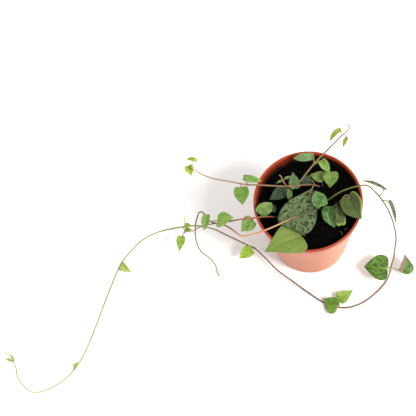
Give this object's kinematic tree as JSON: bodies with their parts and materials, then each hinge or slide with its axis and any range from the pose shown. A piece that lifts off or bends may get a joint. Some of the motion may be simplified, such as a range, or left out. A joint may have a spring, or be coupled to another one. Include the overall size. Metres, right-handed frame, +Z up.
{
  "type": "potted string of hearts",
  "caption": "Round plastic nursery pot of soil with a trailing string of hearts: wiry stems and heart-shaped mottled leaves, some resting on the surface beside it.",
  "frame": {"origin": "middle of the pot's foot, on the surface it stands on", "axes": "+Z up out of the pot, +X to the right of the pot with the longest vine lying towards -X, +Y to the back"},
  "size_m": [0.4114, 0.1748, 0.1536],
  "materials": {
    "terracotta_plastic": "satin",
    "potting_soil": "rough crumbly peat",
    "stem_brown": "smooth wiry stem",
    "leaf_green": "soft satin leaf with pale veins",
    "leaf_silver": "silvery mottled leaf",
    "leaf_lime": "young bright leaf",
    "leaf_olive": "plain olive leaf"
  },
  "bodies": {
    "root": {"pot": "terracotta_plastic", "soil": "potting_soil", "stem_upper_left": "stem_brown", "stem_upper_right": "stem_brown", "stem_long": "stem_brown", "stem_left": "stem_brown", "stem_lower_left": "stem_brown", "pot_shoot": "stem_brown", "dry_stub": "stem_brown", "leaf_a_upper": "leaf_green", "leaf_a_lower": "leaf_green", "leaf_a_tip_lower": "leaf_lime", "leaf_a_tip_upper": "leaf_lime", "leaf_b_left": "leaf_green", "leaf_b_right": "leaf_lime", "leaf_b_tip_left": "leaf_lime", "leaf_b_tip_right": "leaf_lime", "leaf_c_rim_upper": "leaf_silver", "leaf_c_rim_lower": "leaf_silver", "leaf_c_big_heart": "leaf_green", "leaf_c_folded": "leaf_green", "leaf_c_front_upper": "leaf_lime", "leaf_c_front_lower": "leaf_green", "leaf_c_lime": "leaf_lime", "leaf_e_oval": "leaf_green", "leaf_c_floor_small": "leaf_lime", "leaf_c_floor_bud": "leaf_lime", "leaf_c_tip_narrow": "leaf_lime", "leaf_c_tip_bud": "leaf_lime", "leaf_d_bright": "leaf_lime", "leaf_d_behind": "leaf_green", "leaf_d_curl_right": "leaf_lime", "leaf_d_curl_left": "leaf_lime", "leaf_d_hanging": "leaf_lime", "leaf_big_silver": "leaf_silver", "leaf_big_plain": "leaf_olive", "leaf_right_olive": "leaf_olive", "leaf_heart_front": "leaf_green", "leaf_heart_curled": "leaf_olive", "leaf_heart_middle": "leaf_green", "leaf_back_lime": "leaf_lime", "leaf_back_olive": "leaf_olive", "leaf_grey_upper": "leaf_silver", "leaf_dark_right": "leaf_silver", "leaf_dark_left": "leaf_silver", "leaf_folded_small": "leaf_green", "leaf_shoot_left": "leaf_lime", "leaf_shoot_right": "leaf_lime", "leaf_rim_lime": "leaf_lime", "leaf_behind_small": "leaf_green"}
  },
  "joints": []
}
